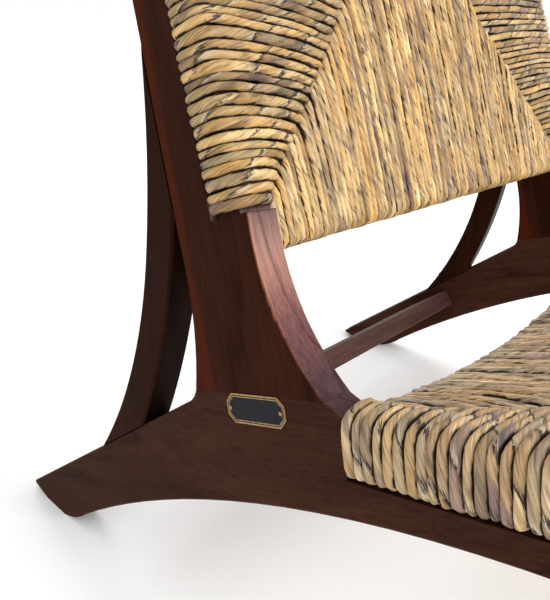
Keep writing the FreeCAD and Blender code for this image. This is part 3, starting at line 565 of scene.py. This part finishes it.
class Tree:
    """Short calls for building a material's node tree."""

    def __init__(self, name):
        self.material = bpy.data.materials.new(name)
        self.material.use_nodes = True
        self.nodes = self.material.node_tree.nodes
        self.links = self.material.node_tree.links
        self.shader = self.nodes["Principled BSDF"]

    def put(self, target, value):
        if isinstance(value, bpy.types.NodeSocket):
            self.links.new(value, target)
        else:
            target.default_value = value

    def shade(self, socket, value):
        self.put(self.shader.inputs[socket], value)

    def attribute(self, name, output):
        node = self.nodes.new("ShaderNodeAttribute")
        node.attribute_name = name
        return node.outputs[output]

    def texture_coordinate(self, output):
        return self.nodes.new("ShaderNodeTexCoord").outputs[output]

    def coords(self):
        return self.texture_coordinate("Object")

    def normal(self):
        return self.texture_coordinate("Normal")

    def dot(self, vector, direction):
        node = self.nodes.new("ShaderNodeVectorMath")
        node.operation = "DOT_PRODUCT"
        self.put(node.inputs[0], vector)
        node.inputs[1].default_value = direction
        return node.outputs["Value"]

    def mapping(self, vector, scale=(1, 1, 1), turn=(0, 0, 0), move=(0, 0, 0)):
        node = self.nodes.new("ShaderNodeMapping")
        self.put(node.inputs["Vector"], vector)
        node.inputs["Scale"].default_value = scale
        node.inputs["Rotation"].default_value = turn
        node.inputs["Location"].default_value = move
        return node.outputs[0]

    def noise(self, vector, scale, detail, rough, distortion=0.0):
        """Noise whose scale is one number, or one for each axis."""
        if isinstance(scale, tuple):
            vector, scale = self.mapping(vector, scale), 1.0
        node = self.nodes.new("ShaderNodeTexNoise")
        self.put(node.inputs["Vector"], vector)
        node.inputs["Scale"].default_value = scale
        node.inputs["Detail"].default_value = detail
        node.inputs["Roughness"].default_value = rough
        node.inputs["Distortion"].default_value = distortion
        return node.outputs["Fac"]

    def ramp(self, fac, stops):
        """A colour ramp with its stops as (place, colour)."""
        node = self.nodes.new("ShaderNodeValToRGB")
        self.put(node.inputs["Fac"], fac)
        band = node.color_ramp.elements
        band.remove(band[0])
        band[0].position, band[0].color = stops[0]
        for place, colour in stops[1:]:
            band.new(place).color = colour
        return node.outputs["Color"]

    def math(self, kind, a, b=None):
        node = self.nodes.new("ShaderNodeMath")
        node.operation = kind
        self.put(node.inputs[0], a)
        if b is not None:
            self.put(node.inputs[1], b)
        return node.outputs[0]

    def span(self, value, low, high, to_low=0.0, to_high=1.0):
        node = self.nodes.new("ShaderNodeMapRange")
        for name, number in (("Value", value), ("From Min", low), ("From Max", high),
                             ("To Min", to_low), ("To Max", to_high)):
            self.put(node.inputs[name], number)
        return node.outputs["Result"]

    def mix(self, kind, fac, a, b):
        node = self.nodes.new("ShaderNodeMix")
        node.data_type = "RGBA"
        node.blend_type = kind
        for k, value in ((0, fac), (6, a), (7, b)):
            self.put(node.inputs[k], value)
        return node.outputs[2]

    def bump(self, height, strength, distance):
        node = self.nodes.new("ShaderNodeBump")
        node.inputs["Strength"].default_value = strength
        node.inputs["Distance"].default_value = distance
        self.put(node.inputs["Height"], height)
        self.shade("Normal", node.outputs[0])


# the pale tone of fibre ends on one side of a crease, partly a painted highlight; then the
# near-black of dark flecks and of painted shade in creases and between strands
PALE_END_AND_HIGHLIGHT_TONE = (0.76, 0.69, 0.53, 1)
SHADE_TONE = (0.016, 0.009, 0.006, 1)


def rush_material(name, crease, low, high, slits):
    """Twisted rush: two leaf tones that run into each other in frayed fibres, painted shade in the
    crease between them with pale fibre ends and a painted highlight on one side of it, streaks
    along the twist and painted shade on the flanks where a strand meets the next. crease is the
    strength of the painted crease shade, low and high are where on its flank the painted shade
    starts, and slits is the strength of the short dark splits."""
    t = Tree(name)
    grain = t.attribute("grain", "Vector")
    fibres = t.noise(grain, (1.3, 1.3, 0.08), 3.0, 0.6)
    edge = t.math("ADD", t.attribute("turn", "Fac"), t.span(fibres, 0.3, 0.7, -3.4, 3.4))
    leaf = t.mix("MIX", t.span(edge, -0.3, 0.3), t.attribute("tone_a", "Vector"),
                 t.attribute("tone_b", "Vector"))
    streaks = t.noise(grain, (1.1, 1.1, 0.04), 4.0, 0.62)
    leaf = t.mix("MULTIPLY", 0.85, leaf, t.ramp(streaks, [
        (0.3, (0.32, 0.25, 0.2, 1)), (0.43, (0.8, 0.75, 0.69, 1)),
        (0.57, (1.12, 1.07, 1.0, 1)), (0.72, (1.6, 1.5, 1.3, 1))]))
    blotch = t.noise(grain, (0.12, 0.12, 0.035), 2.0, 0.5)
    leaf = t.mix("MULTIPLY", 0.8, leaf, t.ramp(blotch, [
        (0.33, (0.34, 0.31, 0.33, 1)), (0.43, (0.92, 0.89, 0.86, 1)),
        (0.66, (1.2, 1.1, 0.93, 1))]))
    # pale fibre ends on one side of each crease, partly a painted highlight
    pale_end_and_highlight = t.math("MULTIPLY", t.span(edge, 0.9, 1.9), t.span(edge, 5.5, 3.0))
    leaf = t.mix("MIX", t.math("MULTIPLY", pale_end_and_highlight, 0.35), leaf, PALE_END_AND_HIGHLIGHT_TONE)
    flecks = t.noise(grain, (1.2, 1.2, 0.06), 2.0, 0.6)
    dark = t.math("MULTIPLY", t.span(flecks, 0.62, 0.68), slits)
    # painted shade on the strand's flanks, where it meets the next strand, starting at a varying
    # place on the flank
    where = t.noise(grain, (0.25, 0.25, 0.07), 2.0, 0.6)
    start = t.span(where, 0.36, 0.62, low, high)
    flank_shade = t.math("MULTIPLY", t.math("SUBTRACT", t.attribute("flank", "Fac"), start), 6.0)
    broken = t.span(t.noise(grain, (0.3, 0.3, 0.25), 2.0, 0.6), 0.34, 0.44)
    # painted shade in the crease where one leaf is wound over the next, broken up along the strand
    crease_shade = t.math("SUBTRACT", 1.0, t.span(t.math("ABSOLUTE", edge), 0.7, 1.7))
    crease_shade = t.math("MULTIPLY", t.math("MULTIPLY", crease_shade, broken), crease)
    shade = t.math("MAXIMUM", t.math("MAXIMUM", dark, crease_shade), t.math("MINIMUM", flank_shade, 0.96))
    t.shade("Base Color", t.mix("MIX", t.math("MAXIMUM", shade, 0.0), leaf, SHADE_TONE))
    t.shade("Roughness", t.span(streaks, 0.3, 0.7, 0.34, 0.55))
    t.shade("Specular IOR Level", 0.22)
    t.bump(t.math("ADD", t.math("MULTIPLY", streaks, 0.35), t.math("MULTIPLY", shade, -0.8)),
           0.9, 0.0007)
    return t.material


# the waste rush gets near-black tones, far darker than the strands: painted shade for the gaps
# between them
def stuffing_material():
    t = Tree("rush_waste_painted_shade")
    shred = t.noise(t.coords(), (900, 90, 900), 4.0, 0.7)
    t.shade("Base Color", t.ramp(shred, [
        (0.35, (0.018, 0.012, 0.008, 1)), (0.6, (0.05, 0.034, 0.02, 1)),
        (0.8, (0.11, 0.08, 0.045, 1))]))
    t.shade("Roughness", 0.9)
    t.bump(shred, 0.8, 0.002)
    return t.material


# which way the edges of the planks face that take painted light and shade, picked by their normals
LIT_WAY = (0, -0.96, 0.28)
# the redder, lighter strip painted beside the post's rear edge, painted light standing in for a
# lit chamfer there: its tone, the depths where it starts and where it is full, and how much the
# edge closes in on the back's line with each mm up
CHAMFER_LIGHT_TONE = (0.062, 0.0095, 0.0022, 1)
STRIP_START, STRIP_FULL = 57.5, 60.5
POST_TAPER = 0.02654


def paint_chamfer_light(t, colour):
    """Paints the strip beside the post's rear edge redder and lighter: painted light for a chamfer
    there.
    """
    way = BACK.deep + POST_TAPER * BACK.along
    place = t.dot(t.coords(), tuple(in_row(way) / MM))
    start = way[0] * (TIP_Y - CORNER[0]) - way[1] * CORNER[1]
    mask = t.span(t.math("ADD", place, start), STRIP_START, STRIP_FULL)
    return t.mix("MIX", t.math("MULTIPLY", mask, 0.85), colour, CHAMFER_LIGHT_TONE)


def paint_edge_light(t, colour, rough, across, tones):
    """Paints light and shade on the forward edges of a plank, picked by the way their normals
    face: tones by height and a painted highlight on the arrises; and smooths them.
    """
    (bottom, _), (top, _) = tones[0], tones[-1]
    facing = t.math("ABSOLUTE", t.dot(t.normal(), across))
    front = t.span(t.dot(t.normal(), LIT_WAY), 0.1, 0.5)
    # painted light: edges that face forward, picked by their normals, take the tones by height
    rim = t.math("MULTIPLY", t.span(facing, 0.9, 0.45), front)
    height = t.span(t.dot(t.coords(), (0, 0, 1)), bottom, top)
    colour = t.mix("MIX", rim, colour, t.ramp(height, [
        ((rise - bottom) / (top - bottom), (*tone, 1)) for rise, tone in tones]))
    # painted highlight on the arrises beside the lit edges
    arris_highlight = t.math("MULTIPLY", t.span(facing, 0.15, 0.45), t.span(facing, 0.97, 0.8))
    colour = t.mix("MULTIPLY", t.math("MULTIPLY", arris_highlight, front), colour, (1.5, 1.35, 1.1, 1))
    return colour, t.math("SUBTRACT", rough, t.math("MULTIPLY", rim, 0.16))


def wood_material(name, face, seed, turn=(0, 0, 0), across=None, edges=None, strip=False):
    """Dark red-brown plank: long figure, pores and a thin satin lacquer. face is the tone of
    its broad faces and turn brings the grain's direction onto local X. The broad faces look
    along across, edges lists (height in metres, tone) of painted light and shade for the forward
    edges between them, and strip asks for the redder, lighter strip painted on the post for the
    light on a chamfer there."""
    t = Tree(name)
    vector = t.mapping(t.coords(), (1, 1, 1), turn, (seed * 0.37, seed * 0.11, seed * 0.23))
    figure = t.noise(vector, (2.2, 26, 26), 5.0, 0.6, 0.6)
    fine = t.noise(vector, (12, 420, 420), 3.0, 0.6)
    pores = t.noise(vector, (26, 1100, 1100), 2.0, 0.5)
    veins = t.math("ABSOLUTE", t.math(
        "SUBTRACT", t.noise(vector, (1.2, 14, 14), 3.0, 0.5, 0.3), 0.5))
    colour = t.ramp(figure, [(0.28, scaled(face, 0.6)), (0.5, scaled(face, 1)),
                             (0.74, scaled(face, 1.5))])
    rough = t.span(fine, 0.3, 0.7, 0.5, 0.62)
    if strip:
        colour = paint_chamfer_light(t, colour)
    if edges:
        colour, rough = paint_edge_light(t, colour, rough, across, edges)
    colour = t.mix("MULTIPLY", 0.6, colour, t.ramp(fine, [
        (0.3, (0.55, 0.5, 0.5, 1)), (0.55, WHITE), (0.75, (1.25, 1.2, 1.15, 1))]))
    colour = t.mix("MULTIPLY", 0.35, colour, t.ramp(pores, [
        (0.36, (0.35, 0.3, 0.3, 1)), (0.46, WHITE)]))
    colour = t.mix("MULTIPLY", 0.55, colour, t.ramp(veins, [
        (0.0, (0.25, 0.2, 0.2, 1)), (0.02, WHITE)]))
    t.shade("Base Color", colour)
    t.shade("Specular IOR Level", 0.03)
    t.shade("Roughness", rough)
    t.bump(t.math("ADD", t.math("MULTIPLY", pores, 0.6), t.math("MULTIPLY", fine, 0.4)),
           0.25, 0.0004)
    return t.material


def pin_material():
    """Worn brass."""
    t = Tree("pin_brass")
    tone = (0.34, 0.23, 0.10)
    spots = t.noise(t.coords(), 800, 4.0, 0.6)
    t.shade("Base Color", t.ramp(spots, [(0.35, scaled(tone, 0.75)), (0.65, scaled(tone, 1.25))]))
    t.shade("Metallic", 1.0)
    t.shade("Roughness", t.span(spots, 0.3, 0.7, 0.32, 0.5))
    t.bump(spots, 0.15, 0.0002)
    return t.material


# the plate: the tilt of its length, where its middle lies, half its sizes and its corners' clip
PLATE_TILT = math.radians(19.8)
PLATE_RUN, PLATE_RISE = CORNER[0] - 22.2, CORNER[1] - 13.4
PLATE_HALF_LENGTH, PLATE_HALF_HEIGHT = 24.0, 9.0
PLATE_CLIP = 5.0


def plate_material():
    """Dark enamel with a double brass border that follows the plate's clipped outline."""
    t = Tree("plate_enamel")
    middle = np.array([-outer(PLATE_RUN), TIP_Y - PLATE_RUN, PLATE_RISE]) * MM
    forward = np.array([-math.sin(SPLAY), -math.cos(SPLAY), 0])
    upward = np.array([0, 0, 1])

    def from_middle(way):
        """How far a point lies from the plate's middle along way, in mm."""
        place = t.math("SUBTRACT", t.dot(t.coords(), way), float(way @ middle))
        return t.math("MULTIPLY", t.math("ABSOLUTE", place), 1 / MM)

    x = from_middle(forward * math.cos(PLATE_TILT) + upward * math.sin(PLATE_TILT))
    y = from_middle(upward * math.cos(PLATE_TILT) - forward * math.sin(PLATE_TILT))
    reach = PLATE_HALF_LENGTH + PLATE_HALF_HEIGHT - PLATE_CLIP
    clip = t.math("MULTIPLY", t.math("SUBTRACT", reach, t.math("ADD", x, y)), math.sqrt(0.5))
    rim = t.math("MINIMUM", clip, t.math(
        "MINIMUM", t.math("SUBTRACT", PLATE_HALF_LENGTH, x),
        t.math("SUBTRACT", PLATE_HALF_HEIGHT, y)))
    band = t.ramp(t.math("MULTIPLY", rim, 0.1), [
        (0.0, WHITE), (0.085, WHITE), (0.095, BLACK), (0.15, BLACK), (0.16, WHITE),
        (0.2, WHITE), (0.21, BLACK)])
    spots = t.noise(t.coords(), 700, 4.0, 0.6)
    brass = t.ramp(spots, [(0.35, (0.26, 0.15, 0.06, 1)), (0.65, (0.46, 0.3, 0.14, 1))])
    enamel = t.ramp(spots, [(0.35, (0.008, 0.009, 0.011, 1)), (0.65, (0.016, 0.017, 0.02, 1))])
    t.shade("Base Color", t.mix("MIX", band, enamel, brass))
    t.shade("Metallic", t.math("MULTIPLY", band, 0.8))
    t.shade("Specular IOR Level", 0.08)
    t.shade("Roughness", t.span(spots, 0.3, 0.7, 0.3, 0.45))
    t.bump(band, 0.5, 0.0001)
    return t.material


# painted light and shade down the curved edges of a side frame: tones with the heights in metres
# where they lie, a painted highlight high up, darker below, and a last dark stop of painted shade
# under the rush
CURVE_LIGHT_TONES = [
    (0.206, (0.055, 0.036, 0.043)), (0.230, (0.080, 0.040, 0.044)),
    (0.243, (0.126, 0.057, 0.056)), (0.256, (0.166, 0.074, 0.069)),
    (0.271, (0.27, 0.137, 0.110)), (0.280, (0.315, 0.165, 0.131)),
    (0.290, (0.305, 0.166, 0.137)), (0.3065, (0.18, 0.107, 0.094)),
    (0.308, (0.06, 0.03, 0.022)),
]
# for each kind of plank: which way its grain runs, in degrees, the tone of its broad faces and
# the tones of painted light and shade on its forward edges
PLANKS = {
    "base_board": (20, (0.047, 0.018, 0.0096), CURVE_LIGHT_TONES),
    "post": (-65, (0.030, 0.0078, 0.0028), CURVE_LIGHT_TONES),
    # the brace's edges are painted dark as painted shade; the front leg's are painted a little
    # lighter than its faces as painted light
    "brace": (-85, (0.0225, 0.0062, 0.0024), [
        (0.0, (0.010, 0.004, 0.0025)), (0.5, (0.012, 0.0045, 0.0025))]),
    "front_leg": (-88, (0.044, 0.0155, 0.0078), [
        (0.0, (0.05, 0.025, 0.018)), (0.4, (0.07, 0.032, 0.025))]),
}
CROSS_MEMBERS = ("rear_stretcher", "seat_rear_rail", "seat_front_rail", "back_low_rail",
                 "back_top_rail")
CROSS_TONE = (0.075, 0.038, 0.033)
DOWEL_TONE = (0.42, 0.28, 0.13)


def dress(node, material):
    mesh = NODES[node].data
    mesh.materials.clear()
    mesh.materials.append(material)


def dress_chair():
    """A material of its own for each plank and cross member, and one for the dowels."""
    for k, (kind, (grain, face, edges)) in enumerate(PLANKS.items()):
        turn = (math.radians(grain), 0, -math.pi / 2)
        for side in ("left", "right"):
            node = "%s_%s" % (kind, side)
            left = side == "left"
            across = (math.cos(SPLAY), math.sin(SPLAY) * (1 if left else -1), 0)
            dress(node, wood_material(node + "_wood", face, k * 3 + left, turn, across, edges,
                                      strip=kind == "post"))
    for k, node in enumerate(CROSS_MEMBERS):
        dress(node, wood_material(node + "_wood", CROSS_TONE, 20 + k))
    inner_wood = wood_material("dowel_wood", DOWEL_TONE, 40)
    for node in NODES:
        if node.endswith("_dowels"):
            dress(node, inner_wood)
    dress("label_plate", plate_material())
    dress("label_pins", pin_material())


def weave():
    """Strands and stuffing of both panels, in the order of their random draws."""
    side_rush = rush_material("rush_side_strand", 0.95, 0.6, 0.86, 0.5)
    cross_rush = {"seat": rush_material("rush_seat_strand", 0.6, 0.56, 0.93, 0.9),
                  "back": rush_material("rush_back_strand", 0.6, 0.6, 1.03, 0.95)}
    for panel in (SEAT, BACK):
        for sign in (1, -1):
            side_strands(panel, sign).make(side_rush)
        for end in (0, 1):
            cross_strands(panel, end).make(cross_rush[panel.name])
        stuffing(panel)


# the camera at the photograph's place, its focal length as a share of the picture's height
CAMERA_AT = (-606.2, -78.3, 404.7)
AZIMUTH = math.radians(55.015)
ELEVATION = math.radians(20.579)
ROLL = math.radians(6.0)
FOCAL_SHARE = 736.83 / 600


def place_camera():
    data = bpy.data.cameras.new("camera")
    data.lens = FOCAL_SHARE * data.sensor_width
    data.clip_start, data.clip_end = 0.02, 40
    level = np.array([math.cos(AZIMUTH), -math.sin(AZIMUTH), 0])
    forward = np.array([math.sin(AZIMUTH) * math.cos(ELEVATION),
                        math.cos(AZIMUTH) * math.cos(ELEVATION), -math.sin(ELEVATION)])
    upright = np.cross(level, forward)
    right = level * math.cos(ROLL) + upright * math.sin(ROLL)
    up = upright * math.cos(ROLL) - level * math.sin(ROLL)
    camera = add_object("camera", data)
    camera.matrix_world = Matrix([
        (right[k], up[k], -forward[k], CAMERA_AT[k] * MM) for k in range(3)] + [(0, 0, 0, 1)])
    bpy.context.scene.camera = camera
    bpy.context.scene.view_settings.view_transform = "Standard"


# the studio: how far the floor goes, in metres, then which way the daylight comes from, its
# strength, and its levels from the dark side to the light
FLOOR_REACH = 30
DAYLIGHT_WAY = (0.6, -0.79, 0.1)
DAYLIGHT_STRENGTH = 1.7
DAYLIGHT_LEVELS = ((0.0, 0.2), (0.3, 0.6), (0.6, 0.64), (1.0, 1.0))


def lay_floor():
    far = FLOOR_REACH
    mesh = bpy.data.meshes.new("floor")
    mesh.from_pydata([(-far, -far, 0), (far, -far, 0), (far, far, 0), (-far, far, 0)], [],
                     [(0, 1, 2, 3)])
    t = Tree("floor")
    t.shade("Base Color", grey(0.96))
    t.shade("Roughness", 0.9)
    t.shade("Specular IOR Level", 0.1)
    mesh.materials.append(t.material)
    floor = add_object("floor", mesh)


def light_world():
    """Soft daylight from one side. Seen directly or in a reflection, the studio is white."""
    world = bpy.data.worlds.new("studio")
    bpy.context.scene.world = world
    world.use_nodes = True
    nodes, links = world.node_tree.nodes, world.node_tree.links
    toward = nodes.new("ShaderNodeVectorMath")
    toward.operation = "DOT_PRODUCT"
    toward.inputs[1].default_value = DAYLIGHT_WAY
    share = nodes.new("ShaderNodeMapRange")
    share.inputs["From Min"].default_value = -1
    light = nodes.new("ShaderNodeValToRGB")
    band = light.color_ramp.elements
    band[0].color, band[1].color = grey(DAYLIGHT_LEVELS[0][1]), grey(DAYLIGHT_LEVELS[-1][1])
    for place, level in DAYLIGHT_LEVELS[1:-1]:
        band.new(place).color = grey(level)
    daylight = nodes["Background"]
    daylight.inputs["Strength"].default_value = DAYLIGHT_STRENGTH
    links.new(nodes.new("ShaderNodeTexCoord").outputs["Generated"], toward.inputs[0])
    links.new(toward.outputs["Value"], share.inputs["Value"])
    links.new(share.outputs["Result"], light.inputs["Fac"])
    links.new(light.outputs["Color"], daylight.inputs["Color"])
    backdrop = nodes.new("ShaderNodeBackground")
    backdrop.inputs["Color"].default_value = WHITE
    ray = nodes.new("ShaderNodeLightPath")
    seen = ray.outputs["Is Camera Ray"]
    for name in ("Is Glossy Ray", "Is Transmission Ray"):
        either = nodes.new("ShaderNodeMath")
        either.operation = "MAXIMUM"
        links.new(seen, either.inputs[0])
        links.new(ray.outputs[name], either.inputs[1])
        seen = either.outputs[0]
    choice = nodes.new("ShaderNodeMixShader")
    links.new(seen, choice.inputs[0])
    links.new(daylight.outputs[0], choice.inputs[1])
    links.new(backdrop.outputs[0], choice.inputs[2])
    links.new(choice.outputs[0], nodes["World Output"].inputs["Surface"])


def lamp(name, place, target, size, power, colour=(1, 1, 1)):
    """A square area lamp, in metres, that looks at its target."""
    data = bpy.data.lights.new(name, "AREA")
    data.shape = "RECTANGLE"
    data.size = data.size_y = size
    data.energy = power
    data.color = colour
    item = add_object(name, data)
    item.location = place
    to = np.array(target, float) - np.array(place, float)
    item.rotation_euler = (math.atan2(math.hypot(to[0], to[1]), -to[2]), 0,
                           math.atan2(-to[0], to[1]))


dress_chair()
weave()
place_camera()
lay_floor()
light_world()
lamp("key", (0.7, -2.6, 1.15), (0, 0.05, 0.4), 1.0, 60)
lamp("fill", (-2.0, -0.6, 1.6), (0, 0, 0.35), 1.2, 9, (0.95, 0.96, 1.0))
lamp("rim", (1.2, 2.2, 1.8), (0, 0.1, 0.4), 1.2, 14)

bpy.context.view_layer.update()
